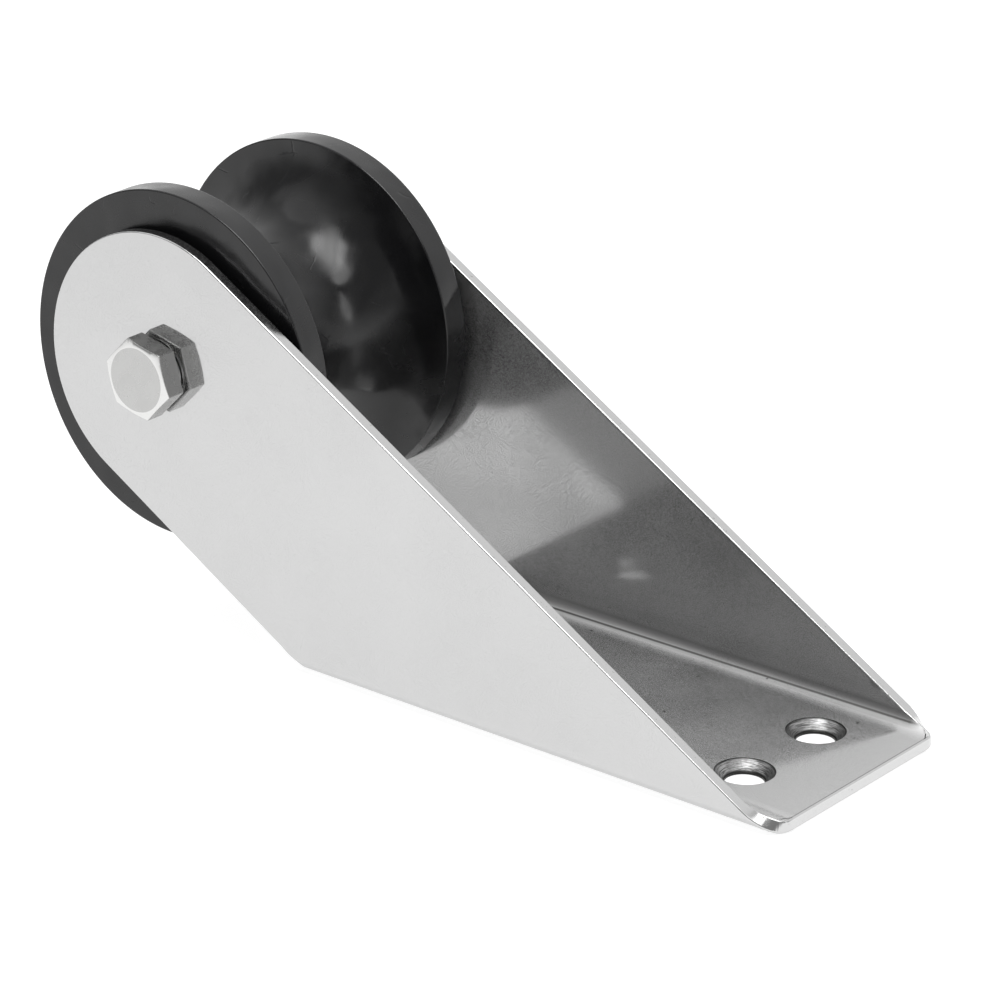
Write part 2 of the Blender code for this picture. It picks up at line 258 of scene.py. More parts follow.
def corner_share(place):
    """From 0.35 along the plain edges up to 0.8 outside and 0.55 inside at the rear corners."""
    off = Vector((place.x - rear_corner.x, abs(place.y) - rear_corner.y)).length
    near = max(0.0, 1 - off / (11 * mm))
    return 0.35 + (0.2 if place.z > sheet / 2 else 0.45) * near ** 2


blank = ground(blank, 1.3 * mm, corner_share)
blank.normal_update()
for face in blank.faces:
    face.material_index = edge_finish if abs(face.normal.z) < 0.99 else outside_finish
print("plate has", len(blank.faces), "faces")

# %% [markdown]
# Three holes are drilled and countersunk from above for deck screws, and each ear has a plain hole
# for the bolt.

# %% Drill and countersink
drill, sink, burr = 4.4 * mm, 6.8 * mm, 0.12 * mm
hole_places = [Vector((rear + 21.3 * mm, side * 13.4 * mm, 0)) for side in (1, -1)]
hole_places.append(Vector((front - 25.3 * mm, 0, 0)))
profile = [(0, -sheet), (drill + burr, -sheet), (drill + burr, 0), (drill, burr),
           (drill, sheet - (sink - drill)), (sink, sheet), (sink + burr, sheet + burr / 2),
           (sink + burr, 2 * sheet), (0, 2 * sheet)]
cutters = [turned(profile, 96, place, (0, 0, 1)) for place in hole_places]
clear_bore = 5.3 * mm
plain_hole = [(0, -sheet), (clear_bore, -sheet), (clear_bore, 2 * sheet), (0, 2 * sheet)]
for side in (1, -1):
    place = Vector((axle.x, side * (ear.y - ear_rise), 0))
    cutters.append(turned(plain_hole, 64, place, (0, 0, 1)))
blank = combined(blank, "DIFFERENCE", *cutters)
print("drilled plate has", len(blank.faces), "faces")

# %% [markdown]
# ## Folding
# A press brake bends the sheet about its middle layer, which keeps its length, while the inside is
# squeezed and the outside stretched. So a point's place after folding follows from how far it lies
# past the fold line and how high it lies in the sheet. The plate is first cut across with planes,
# one every few degrees of the bend, to give it enough points to curve.

# %% Fold both arms up
fold_steps = 18
for side in (-1, 1):
    for i in range(fold_steps + 1):
        line = side * (flat_half + fold_length * i / fold_steps)
        cut_across(blank, (0, line, 0), (0, 1, 0), dist=0.0001 * mm)
for point in blank.verts:
    past = abs(point.co.y) - flat_half
    if past > 0:
        turn = min(past / fold_middle, pi / 2)
        reach = fold_middle + sheet / 2 - point.co.z
        side = 1 if point.co.y > 0 else -1
        point.co.y = side * (flat_half + reach * sin(turn))
        point.co.z = bend_top - reach * cos(turn) + max(past - fold_length, 0)
print("folded sheet is", round(max(v.co.z for v in blank.verts) / mm, 1), "mm high")

# %% Mark the countersinks and the inside of the channel, and finish the bracket
blank.normal_update()
for face in blank.faces:
    if face.material_index == edge_finish:
        continue
    middle = face.calc_center_median()
    side = 1 if middle.y > 0 else -1
    inward = Vector((0, side * flat_half - middle.y, max(bend_top - middle.z, 0)))
    if face.normal.z > 0.99 and abs(middle.z - sheet) < burr or (
            abs(middle.y) > flat_half - gap and face.normal.dot(inward) > 0.7 * inward.length):
        face.material_index = channel_finish
    for place in hole_places:
        off = Vector((middle.x - place.x, middle.y - place.y)).length
        if off < sink + 2 * burr and 0 < middle.z < sheet + burr and abs(face.normal.z) < 0.99:
            face.material_index = sink_finish
print("faces by finish:", [sum(f.material_index == i for f in blank.faces) for i in range(4)])
bracket = finish_piece("folded_bracket", blank, "frame", "bracket")

# %% [markdown]
# ## The roller
# The roller is moulded in glossy black plastic: two flat rims with a round groove between them,
# so that the line stays in the middle. It turns about the axle, so one half profile spun full
# circle makes it, rims, groove and bore together. The groove is half an ellipse, 42 mm wide and
# 20.5 mm deep: half a circle, spun from one point and then squeezed to its depth. Its corners are
# eased as a mould leaves them.

# %% Profile of the roller
rim_width = 6.8 * mm
groove_depth = 20.5 * mm
groove_half = roller_half - rim_width
bush_seat = node_size("bush_port").x / 2 + gap
bush_step = 1.6 * mm
shoulder = roller_half - node_size("bush_port").y - gap

arc = bmesh.new()
rim_edge = arc.verts.new((roller_radius, groove_half, 0))
bmesh.ops.spin(arc, geom=[rim_edge], cent=(roller_radius, 0, 0), axis=(0, 0, 1), angle=pi,
               steps=56)
bmesh.ops.scale(arc, vec=(groove_depth / groove_half, 1, 1), verts=arc.verts,
                space=Matrix.Translation((-roller_radius, 0, 0)))
groove = [(point.co.x, point.co.y) for point in arc.verts]
arc.free()

outside = [(bush_seat, roller_half), (roller_radius, roller_half)] + groove
outside += [(roller_radius, -roller_half), (bush_seat, -roller_half)]
bore = [(bush_seat, -shoulder), (bush_seat - bush_step, -shoulder),
        (bush_seat - bush_step, shoulder), (bush_seat, shoulder)]
print("waist", round(2 * min(radius for radius, along in groove) / mm, 1), "mm across")

# %% Spin the roller and ease its corners
shape = turned(outside + bore, 192)
soften(shape, 0.4 * mm, segments=5, angle=60.0)
roller = finish_piece("grooved_roller", shape, "roller", "roller")

# %% [markdown]
# ## Bushes, sleeve and side washers
# A steel sleeve round the bolt keeps the cheeks apart, so the nut can be tightened without
# pinching the roller. The roller runs on it in two white bushes, and a side washer at each end
# keeps it off the polished cheeks. They are hidden or nearly so, and each is a plain turned ring,
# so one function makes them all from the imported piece's own box.

# %% Turn the plain rings
def turned_ring(name, node, bore_radius, body, edge=0.3 * mm):
    """A ring with rounded corners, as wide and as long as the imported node."""
    low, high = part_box(node)
    outer = (high.x - low.x) / 2
    corners = [(bore_radius, low.y), (outer, low.y), (outer, high.y), (bore_radius, high.y)]
    ring = soften(turned(corners), edge, angle=60.0)
    return finish_piece(name, ring, body, node)


running_bore = node_size("axle_sleeve").x / 2 + gap
sleeve = turned_ring("spacer_sleeve", "axle_sleeve", clear_bore, "frame")
bushes = [turned_ring(f"bearing_{side}", f"bush_{side}", running_bore, "roller")
          for side in ("port", "starboard")]
side_washers = [turned_ring(f"side_washer_{side}", f"thrust_washer_{side}", running_bore, "frame") for side in ("port", "starboard")]
flat_washer = turned_ring("flat_washer", "nut_washer", clear_bore, "frame",
                          edge=0.35 * mm)
insert_ring = turned_ring("nylon_ring", "lock_nut_insert", clear_bore, "frame",
                          edge=0.25 * mm)

# %% [markdown]
# ## The bolt
# The axle is an M10 bolt: a hexagon head, 17 mm across its flats, with a shallow chamfer on top
# and a thin round face under it, then a shank whose last part is threaded. The hexagon is a
# six-sided cylinder, and the chamfer is the overlap of that hexagon with a turned blank, which
# gives the curved tops of the flats exactly as the cold-forming tool does. A chamfer of 18 degrees
# still faces the bright table, so it stays white, as in the photograph. One of 30 degrees, as on
# the nut, would turn dark.

# %% Hexagon with turned chamfers
flats = 17.0 * mm
hex_corner = flats / 2 / cos(pi / 6)


def hexagon(low, high, turn, both_ends, face=flats / 2 - 0.4 * mm, slope=radians(30.0)):
    """Hexagon along the axle, one corner turned up from +X, chamfered at its high end or both."""
    bm = bmesh.new()
    bmesh.ops.create_cone(bm, cap_ends=True, segments=6, radius1=hex_corner, radius2=hex_corner,
                          depth=high - low)
    lay = Matrix.Rotation(-turn, 4, "Y") @ Matrix.Rotation(-pi / 2, 4, "X")
    bmesh.ops.transform(bm, matrix=lay @ Matrix.Rotation(radians(30.0), 4, "Z"), verts=bm.verts)
    bmesh.ops.translate(bm, vec=(axle.x, (low + high) / 2, axle.z), verts=bm.verts)
    wide = hex_corner + 0.4 * mm
    drop = (wide - face) * tan(slope)
    low_end = [(face, low), (wide, low + drop)] if both_ends else [(wide, low)]
    outline = [(0, low), *low_end, (wide, high - drop), (face, high), (0, high)]
    made = combined(bm, "INTERSECT", turned(outline, 144))
    bmesh.ops.dissolve_limit(made, angle_limit=radians(0.2), verts=made.verts, edges=made.edges)
    return made


head_low, head_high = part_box("axle_bolt")
head_top, tip = head_high.y, head_low.y
seat = cheek_outside + gap
bearing_height = 0.6 * mm
head_bottom = seat + bearing_height
head = hexagon(head_bottom, head_top, radians(13.0), False, face=7.6 * mm, slope=radians(18.0))
soften(head, 0.5 * mm, segments=4, angle=60.0,
       keep=lambda edge: max(v.co.y for v in edge.verts) < head_bottom + 0.1 * mm)
soften(head, 0.2 * mm, keep=lambda edge: min(v.co.y for v in edge.verts) > head_bottom + 0.45 * mm)
head.normal_update()
tumbled_finish, chamfer_finish = range(2)
for face in head.faces:
    face.material_index = chamfer_finish if 0.9 < face.normal.y < 0.985 else tumbled_finish
print("head is", round((head_top - seat) / mm, 1), "mm high with", len(head.faces), "faces")

# %% [markdown]
# The thread is a real helix. A line with one pitch of the thread's profile is spun about the axle
# and moved one pitch per turn, so each turn meets the next. Both ends are cut square with a plane
# and closed, and the overlap with a chamfered blank gives the bolt its lead-in. The pitch of a
# standard M10 thread is 1.5 mm, and its depth 0.92 mm.

# %% Spin the thread
pitch, shank_radius, root_radius = 1.5 * mm, 5.0 * mm, 4.08 * mm
thread_length = 26.0 * mm
turn_steps = 60
turns = int(thread_length / pitch) + 3
start = tip - pitch
thread = bmesh.new()
crest = shank_radius - 0.02 * mm
tooth = [(root_radius, 0), (root_radius, pitch / 4), (crest, pitch * 9 / 16),
         (crest, pitch * 11 / 16), (root_radius, pitch)]
points = [thread.verts.new(axle + Vector((radius, start + along, 0))) for radius, along in tooth]
for a, b in zip(points, points[1:]):
    thread.edges.new((a, b))
bmesh.ops.spin(thread, geom=thread.verts[:] + thread.edges[:], cent=axle, axis=(0, 1, 0),
               dvec=(0, pitch / turn_steps, 0), angle=2 * pi * turns, steps=turn_steps * turns)
bmesh.ops.remove_doubles(thread, verts=thread.verts, dist=0.01 * mm)
for cut, outwards in ((tip - gap, (0, -1, 0)), (tip + thread_length, (0, 1, 0))):
    cut_across(thread, (0, cut, 0), outwards, clear_outer=True)
bmesh.ops.holes_fill(thread, edges=[edge for edge in thread.edges if edge.is_boundary])
bmesh.ops.recalc_face_normals(thread, faces=thread.faces)
print("thread has", turns, "turns,", len(thread.faces), "faces and",
      sum(edge.is_boundary for edge in thread.edges), "open edges")

# %% Join head, shank and thread
lead = 1.0 * mm
thread_end = tip + thread_length
over = shank_radius + gap
blank_end = turned([(0, tip), (shank_radius - lead, tip), (over, tip + lead + gap),
                    (over, thread_end + lead), (0, thread_end + lead)], 144)
thread = combined(thread, "INTERSECT", blank_end)
bearing = flats / 2 - 0.5 * mm
inside_head = seat + 2 * bearing_height
shank = turned([(0, thread_end - lead), (root_radius - gap, thread_end - lead),
                (root_radius, thread_end - gap), (shank_radius, thread_end + 2 * gap),
                (shank_radius, seat), (bearing, seat), (bearing, inside_head), (0, inside_head)])
bolt_shape = combined(head, "UNION", shank, thread)
bolt = finish_piece("threaded_bolt", bolt_shape, "frame", "axle_bolt")

# %% [markdown]
# ## The lock nut
# A self-locking nut is a chamfered hexagon with a round collar on its outer end. The collar is
# rolled over a ring of blue nylon, which grips the thread so that the nut can't work loose as the
# roller turns. The collar is turned, added to the hexagon, and the bore with the ring's recess is
# then cut out of both.

# %% Model the nut
nut_low, nut_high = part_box("lock_nut")
nut_seat, nut_end = nut_high.y, nut_low.y
ring_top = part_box("lock_nut_insert")[1].y
ring_radius = node_size("lock_nut_insert").x / 2
recess = ring_radius + gap
collar = recess + 0.8 * mm
hex_end = nut_seat - 6.6 * mm
root = hex_end + gap
collar_shape = turned([(0, root), (collar, root), (collar, nut_end), (0, nut_end)])
soften(collar_shape, 0.75 * mm, segments=5, angle=60.0,
       keep=lambda edge: edge.verts[0].co.y < nut_end + gap)
nut_shape = combined(hexagon(hex_end, nut_seat, radians(22.0), True), "UNION", collar_shape)
lip, rolled, eased = ring_radius - 0.5 * mm, 0.6 * mm, 0.8 * mm
inner = [(0, nut_end - sheet), (lip, nut_end - sheet), (lip, nut_end + rolled),
         (recess, nut_end + rolled), (recess, ring_top + gap), (clear_bore, ring_top + gap),
         (clear_bore, nut_seat - eased), (clear_bore + eased, nut_seat),
         (clear_bore + eased, nut_seat + sheet), (0, nut_seat + sheet)]
nut_shape = combined(nut_shape, "DIFFERENCE", turned(inner))
nut = finish_piece("self_locking_nut", nut_shape, "frame", "lock_nut")

# %% [markdown]
# ## Helpers for materials
# Colours are given as sRGB hex, as a colour chart gives them, and turned to linear for the shader.
# A material is a small tree of nodes, and one function adds a node with its settings and links.
# Object coordinates are in metres, so a pattern that repeats every 4 mm has a scale of
# 1 / (4 * mm).

# %% Colour and node helpers
def linear(hex_colour):
    """An sRGB hex colour as linear red, green, blue and alpha."""
    parts = [int(hex_colour[i:i + 2], 16) / 255 for i in (1, 3, 5)]
    return (*[c / 12.92 if c <= 0.04045 else ((c + 0.055) / 1.055) ** 2.4 for c in parts], 1.0)


def add(tree, kind, inputs=None, **settings):
    """Add a node. Each input is a value, or the output socket of another node."""
    node = tree.nodes.new(kind)
    for name, value in settings.items():
        setattr(node, name, value)
    for key, value in (inputs or {}).items():
        if isinstance(value, bpy.types.NodeSocket):
            tree.links.new(value, node.inputs[key])
        else:
            node.inputs[key].default_value = value
    return node


def new_material(name, colour, metallic, roughness):
    """A Principled material with its plain values set, its node tree and its shader."""
    made = bpy.data.materials.new(name)
    made.use_nodes = True
    shader = made.node_tree.nodes["Principled BSDF"]
    shader.inputs["Base Color"].default_value = linear(colour)
    shader.inputs["Metallic"].default_value = metallic
    shader.inputs["Roughness"].default_value = roughness
    return made, made.node_tree, shader


# %% [markdown]
# ## Polished stainless sheet
# The bracket is 316 stainless, buffed after folding. Buffing leaves things that the eye reads as
# steel and not as chrome. Scratches finer than a pixel scatter part of the light, so a sharp
# reflection lies in a soft haze: here a speckle 0.05 mm fine switches between polished and
# scratched, and its share sets the haze. Cloudy patches are a little duller. And a sheet isn't
# optically flat, so reflections swim slightly. Outside, the buffing wheel reaches everywhere.
# Inside the channel it hardly does, so the same steel has far more haze there.

# %% Material of the sheet, for a share of scratched surface
def buffed_steel(name, colour, polished, scratched, share, swim_depth):
    made, tree, shader = new_material(name, colour, 1.0, polished)
    place = add(tree, "ShaderNodeTexCoord").outputs["Object"]
    clouds = add(tree, "ShaderNodeTexNoise", {
        "Vector": place, "Scale": 1 / (25 * mm), "Detail": 3.0})
    local = add(tree, "ShaderNodeMapRange", {
        "Value": clouds.outputs[0], "From Min": 0.3, "From Max": 0.7,
        "To Min": share - 0.12, "To Max": share + 0.12})
    grain = add(tree, "ShaderNodeVectorMath", {0: place, 1: (0.05 * mm,) * 3}, operation="SNAP")
    speckle = add(tree, "ShaderNodeTexWhiteNoise", {"Vector": grain.outputs[0]})
    is_scratched = add(tree, "ShaderNodeMath", {0: speckle.outputs["Value"], 1: local.outputs[0]},
                       operation="LESS_THAN")
    rough = add(tree, "ShaderNodeMapRange", {
        "Value": is_scratched.outputs[0], "To Min": polished, "To Max": scratched})
    tree.links.new(rough.outputs[0], shader.inputs["Roughness"])
    swim = add(tree, "ShaderNodeTexNoise", {"Vector": place, "Scale": 1 / (30 * mm), "Detail": 1.0})
    wavy = add(tree, "ShaderNodeBump", {"Height": swim.outputs[0], "Distance": swim_depth})
    tree.links.new(wavy.outputs[0], shader.inputs["Normal"])
    return made, tree, shader, place, local, is_scratched


steel = buffed_steel("mirror_polished_stainless", "#C1C1C1", 0.06, 0.5, 0.2, 0.02 * mm)[0]
# Inside the channel the colour is painted a little darker than outside, as painted shade.
channel_steel, tree, shader, place, local, is_scratched = buffed_steel(
    "half_polished_stainless_with_painted_shade", "#B7B7B7", 0.12, 0.6, 0.5, 0.03 * mm)
print("sheet finishes:", steel.name, "outside,", channel_steel.name, "in the channel")

# %% [markdown]
# The buffing wheel is wider than the fold, so a strip along each fold stays dull, and the base
# rises to it in a slight dish. That strip's colour is painted lighter, as a painted sheen. In the
# bend, a dark line with a finer one beside it is painted along the crease as painted shade, up to a
# few millimetres from the rear. Where they lie follows from the angle round the bend, which is 0 on
# the cheek and 90 degrees on the base. A broad grey band of painted shade lies over the bend and
# fades up the cheek, where the angle goes on below 0. A thin dark line is also drawn where the
# polished face meets the ground edge.

# %% Places round the bend, across the arm and along the sheet
split = add(tree, "ShaderNodeSeparateXYZ", {0: place})
outward = add(tree, "ShaderNodeMath", {0: split.outputs[1]}, operation="ABSOLUTE")
past_fold = add(tree, "ShaderNodeMath", {0: outward.outputs[0], 1: flat_half},
                operation="SUBTRACT")
below = add(tree, "ShaderNodeMath", {0: bend_top, 1: split.outputs[2]}, operation="SUBTRACT")
bend = add(tree, "ShaderNodeMath", {0: below.outputs[0], 1: past_fold.outputs[0]},
           operation="ARCTAN2")
aslant = add(tree, "ShaderNodeMath", {0: split.outputs[0], 1: -3.8, 2: bend.outputs[0]},
             operation="MULTIPLY_ADD")
arm_across = add(tree, "ShaderNodeVectorMath", {
    0: place, 1: (-sin(arm_angle), 0, cos(arm_angle))}, operation="DOT_PRODUCT")
folded_height = upper.y - flat_half - fold_length + bend_top
arm_edge = folded_height * cos(arm_angle) - upper.x * sin(arm_angle)
print("the arm's upper edge lies", round(arm_edge / mm, 1), "mm across from the origin")

# %% Dark lines: painted shade in the bend, and a thin line along each ground edge
fades = [add(tree, "ShaderNodeMapRange", {
    "Value": split.outputs[0], "From Min": rear + 4 * mm, "From Max": rear + 7 * mm,
    "To Max": strength}).outputs[0] for strength in (0.85, 0.55, 0.6)]
on_cheek = add(tree, "ShaderNodeMapRange", {
    "Value": split.outputs[2], "From Min": 6.5 * mm, "From Max": 9 * mm, "To Max": 0.5})
on_flat = add(tree, "ShaderNodeMapRange", {
    "Value": outward.outputs[0], "From Min": flat_half - mm, "From Max": flat_half,
    "To Min": 0.6, "To Max": 0.0})
# The lines in the bend and the broad band over it are painted shade of the crease.
lines = 0.0
# Each line: what it is measured along, its middle, its half width and how dark it is.
for value, middle, width, strength in (
        (aslant.outputs[0], radians(60.8), 0.24, fades[0]),
        (bend.outputs[0], radians(49.0), 0.1, fades[1]),
        (bend.outputs[0], radians(28.0), 1.2, fades[2]),
        (bend.outputs[0], radians(-25.0), 1.3, 0.25),
        (split.outputs[0], rear + 0.56 * mm, 0.16 * mm, on_flat.outputs[0]),
        (arm_across.outputs["Value"], arm_edge - 0.56 * mm, 0.14 * mm, on_cheek.outputs[0])):
    off = add(tree, "ShaderNodeMath", {0: value, 1: middle}, operation="SUBTRACT")
    beside = add(tree, "ShaderNodeMath", {0: off.outputs[0]}, operation="ABSOLUTE")
    line = add(tree, "ShaderNodeMapRange", {
        "Value": beside.outputs[0], "From Min": 0.3 * width, "From Max": width,
        "To Min": strength, "To Max": 0.0})
    lines = add(tree, "ShaderNodeMath", {0: lines, 1: line.outputs[0]},
                operation="MAXIMUM").outputs[0]
print("the lines of compound bring the tree to", len(tree.nodes), "nodes")

# %% Dull strip along the folds, with a painted sheen
strip_start = 23.5 * mm
beside_fold = add(tree, "ShaderNodeMapRange", {
    "Value": outward.outputs[0], "From Min": strip_start, "From Max": flat_half})
under_cheek = add(tree, "ShaderNodeMapRange", {
    "Value": split.outputs[2], "From Min": 6.5 * mm, "From Max": 4.5 * mm},
    interpolation_type="SMOOTHSTEP")
dull_and_painted_sheen = add(tree, "ShaderNodeMath", {0: beside_fold.outputs[0], 1: under_cheek.outputs[0]},
           operation="MULTIPLY")
duller = add(tree, "ShaderNodeMath", {0: dull_and_painted_sheen.outputs[0], 1: 0.5, 2: local.outputs[0]},
             operation="MULTIPLY_ADD")
tree.links.new(duller.outputs[0], is_scratched.inputs[1])
print("the base turns dull over", round((flat_half - strip_start) / mm, 1), "mm beside each fold")

# %% Dish of the base beside the folds
dish_start, dish_depth = 24.5 * mm, 0.33 * mm
rising = add(tree, "ShaderNodeMapRange", {
    "Value": outward.outputs[0], "From Min": dish_start, "From Max": flat_half})
on_base = add(tree, "ShaderNodeMath", {0: rising.outputs[0], 1: 2.0}, operation="POWER")
easing = add(tree, "ShaderNodeMapRange", {
    "Value": bend.outputs[0], "From Min": radians(55.0), "From Max": radians(90.0)})
in_bend = add(tree, "ShaderNodeMath", {0: easing.outputs[0], 1: 2.0}, operation="POWER")
dish = add(tree, "ShaderNodeMath", {0: in_bend.outputs[0], 1: -0.37, 2: on_base.outputs[0]},
           operation="MULTIPLY_ADD")
dished = add(tree, "ShaderNodeBump", {
    "Height": dish.outputs[0], "Distance": dish_depth,
    "Normal": shader.inputs["Normal"].links[0].from_socket})
tree.links.new(dished.outputs[0], shader.inputs["Normal"])
print("the dish rises", round(dish_depth / mm, 2), "mm on its way to the fold")

# %% [markdown]
# A little compound also stays in pits of the base, where a rag doesn't reach: dark flecks about
# half a millimetre across, most of them within a few millimetres of the folds.

# %% Flecks of compound on the base
pit_spacing = 2.6 * mm
near_fold = add(tree, "ShaderNodeMapRange", {
    "Value": outward.outputs[0], "From Min": 14 * mm, "From Max": 26 * mm,
    "To Min": 0.02, "To Max": 0.12})
low_down = add(tree, "ShaderNodeMapRange", {
    "Value": split.outputs[2], "From Min": 3.5 * mm, "From Max": 5 * mm,
    "To Min": 1.0, "To Max": 0.0})
density = add(tree, "ShaderNodeMath", {0: near_fold.outputs[0], 1: low_down.outputs[0]},
              operation="MULTIPLY")
bent = add(tree, "ShaderNodeTexNoise", {"Vector": place, "Scale": 1 / (0.5 * mm), "Detail": 2.0})
crooked = add(tree, "ShaderNodeVectorMath", {
    0: bent.outputs["Color"], 1: (0.4 * mm,) * 3, 2: place}, operation="MULTIPLY_ADD")
pits = add(tree, "ShaderNodeTexVoronoi", {"Vector": crooked.outputs[0], "Scale": 1 / pit_spacing})
chosen = add(tree, "ShaderNodeSeparateColor", {0: pits.outputs["Color"]})
kept = add(tree, "ShaderNodeMath", {0: chosen.outputs[0], 1: density.outputs[0]},
           operation="LESS_THAN")
small = add(tree, "ShaderNodeMapRange", {
    "Value": pits.outputs["Distance"], "From Min": 0.08, "From Max": 0.2,
    "To Min": 0.8, "To Max": 0.0})
fleck = add(tree, "ShaderNodeMath", {0: kept.outputs[0], 1: small.outputs[0]},
            operation="MULTIPLY")
print("a pit can lie every", round(pit_spacing / mm, 1), "mm")

# %% Colour of the channel, with its painted sheen, its lines of painted shade and its compound flecks
compound_and_painted_shade = add(tree, "ShaderNodeMath", {0: fleck.outputs[0], 1: lines}, operation="MAXIMUM")
# The channel's colour is painted a little darker than outside as shade, and lighter along the dull
# strip as a painted sheen.
painted_shade_and_sheen = add(tree, "ShaderNodeMix", {0: dull_and_painted_sheen.outputs[0], 6: linear("#B7B7B7"),
                                    7: linear("#D1D1D1")}, data_type="RGBA")
speckled = add(tree, "ShaderNodeMix", {0: compound_and_painted_shade.outputs[0], 6: painted_shade_and_sheen.outputs[2],
                                       7: linear("#2A2927")}, data_type="RGBA")
tree.links.new(speckled.outputs[2], shader.inputs["Base Color"])
print(channel_steel.name, "has", len(tree.nodes), "nodes")

# %% [markdown]
# ## Ground edges
# The blank's cut edges are ground on a belt and buffed only lightly. So they are softer than the
# sheet's faces, and here and there a nick of the belt is left, dark with compound.

# %% Material of the ground edges
edge_steel, tree, shader = new_material("belt_ground_stainless", "#C3C3C3", 1.0, 0.2)
place = add(tree, "ShaderNodeTexCoord").outputs["Object"]
nicks = add(tree, "ShaderNodeTexNoise", {"Vector": place, "Scale": 1 / (0.8 * mm), "Detail": 2.0})
uneven = add(tree, "ShaderNodeMapRange", {
    "Value": nicks.outputs[0], "From Min": 0.35, "From Max": 0.7, "To Min": 0.16, "To Max": 0.26})
tree.links.new(uneven.outputs[0], shader.inputs["Roughness"])
belt = add(tree, "ShaderNodeBump", {"Height": nicks.outputs[0], "Distance": 0.002 * mm})
tree.links.new(belt.outputs[0], shader.inputs["Normal"])
dirt = add(tree, "ShaderNodeMapRange", {
    "Value": nicks.outputs[0], "From Min": 0.7, "From Max": 0.76, "To Max": 0.7})
nicked = add(tree, "ShaderNodeMix", {0: dirt.outputs[0], 6: linear("#C3C3C3"),
                                     7: linear("#6A6967")}, data_type="RGBA")
tree.links.new(nicked.outputs[2], shader.inputs["Base Color"])
print(edge_steel.name, "has", len(tree.nodes), "nodes")

# %% [markdown]
# ## Machined countersinks
# The countersinks are cut before polishing and left as the tool leaves them, so they show rings.
# On a cone whose axis is Z, every ring lies at one height, so a noise that is stretched out in X
# and Y and fine in Z draws rings without any polar maths. The drilled wall below the cone is dull
# and painted dark, as painted shade deep in the hole, and the sharp upper edge is dark too, because
# compound stays there.

# %% Material of the countersinks
cut_steel, tree, shader = new_material("machined_stainless", "#A5A5A5", 1.0, 0.34)
place = add(tree, "ShaderNodeTexCoord").outputs["Object"]
rings_place = add(tree, "ShaderNodeMapping", {
    "Vector": place, "Scale": (1 / (2.5 * mm), 1 / (2.5 * mm), 1 / (0.13 * mm))})
rings = add(tree, "ShaderNodeTexNoise", {
    "Vector": rings_place.outputs[0], "Scale": 1.0, "Detail": 3.0, "Roughness": 0.7})
grooves = add(tree, "ShaderNodeBump", {"Height": rings.outputs[0], "Distance": 0.1 * mm})
tree.links.new(grooves.outputs[0], shader.inputs["Normal"])
height = add(tree, "ShaderNodeSeparateXYZ", {0: place}).outputs[2]
# Below 0.8 mm the drilled wall is painted dark, as shade deep in the hole; near the upper edge the
# dark band is compound.
above_wall = add(tree, "ShaderNodeMapRange", {
    "Value": height, "From Min": 0.8 * mm, "From Max": 1.1 * mm})
below_edge = add(tree, "ShaderNodeMapRange", {
    "Value": height, "From Min": 2.9 * mm, "From Max": 2.6 * mm})
clear_of_shade_and_compound = add(tree, "ShaderNodeMath", {0: above_wall.outputs[0], 1: below_edge.outputs[0]},
            operation="MULTIPLY")
streaky = add(tree, "ShaderNodeMapRange", {
    "Value": rings.outputs[0], "From Min": 0.38, "From Max": 0.62, "To Min": 0.15, "To Max": 1.0})
tone = add(tree, "ShaderNodeMath", {0: clear_of_shade_and_compound.outputs[0], 1: streaky.outputs[0]},
           operation="MULTIPLY")
shade = add(tree, "ShaderNodeMix", {0: tone.outputs[0], 6: linear("#2E2E2D"),
                                    7: linear("#B4B4B4")}, data_type="RGBA")
tree.links.new(shade.outputs[2], shader.inputs["Base Color"])
print(cut_steel.name, "has", len(tree.nodes), "nodes")

# %% Give the bracket its four finishes
for finish in (steel, cut_steel, channel_steel, edge_steel):
    bracket.data.materials.append(finish)
print("bracket materials:", [m.name for m in bracket.data.materials])

# %% [markdown]
# ## Glossy black plastic
# The roller is injection-moulded acetal, black all through. Its gloss comes from the polished
# mould. Thick plastic sinks a little as it cools, so the groove isn't quite true: it has soft lumps
# about a centimetre wide, and the softbox shows there as a spot among blurred patches. Dull smears
# from handling lie over it. The flat sides and rims were faced on a lathe, and their fine rings
# read only the distance from the axle and the place along it, so they stay round.

# %% Material of the roller
black, tree, shader = new_material("black_moulded_acetal", "#101011", 0.0, 0.2)
shader.inputs["IOR"].default_value = 1.48
place = add(tree, "ShaderNodeTexCoord").outputs["Object"]
from_axle = add(tree, "ShaderNodeVectorMath", {0: place, 1: tuple(axle)}, operation="SUBTRACT")
split = add(tree, "ShaderNodeSeparateXYZ", {0: from_axle.outputs[0]})
flat_place = add(tree, "ShaderNodeCombineXYZ", {0: split.outputs[0], 2: split.outputs[2]})
distance = add(tree, "ShaderNodeVectorMath", {0: flat_place.outputs[0]}, operation="LENGTH")
ring_place = add(tree, "ShaderNodeCombineXYZ", {0: distance.outputs["Value"],
                                                1: split.outputs[1]})
fine = add(tree, "ShaderNodeTexNoise", {
    "Vector": ring_place.outputs[0], "Scale": 1 / (0.9 * mm), "Detail": 2.0})
smears = add(tree, "ShaderNodeTexNoise", {
    "Vector": place, "Scale": 1 / (18 * mm), "Detail": 4.0, "Roughness": 0.6, "Distortion": 0.5})
gloss = add(tree, "ShaderNodeMapRange", {
    "Value": smears.outputs[0], "From Min": 0.35, "From Max": 0.75, "To Min": 0.12, "To Max": 0.4})
tree.links.new(gloss.outputs[0], shader.inputs["Roughness"])
lumps = add(tree, "ShaderNodeTexNoise", {"Vector": place, "Scale": 1 / (11 * mm), "Detail": 1.0})
sunk = add(tree, "ShaderNodeBump", {"Height": lumps.outputs[0], "Distance": 0.5 * mm})
print("without its scratches", black.name, "has", len(tree.nodes), "nodes")

# %% [markdown]
# The chain and the line have left a few hairline scratches. The borders between the cells of a
# Voronoi pattern give crooked lines, and a coarser noise lets only short pieces of them show.

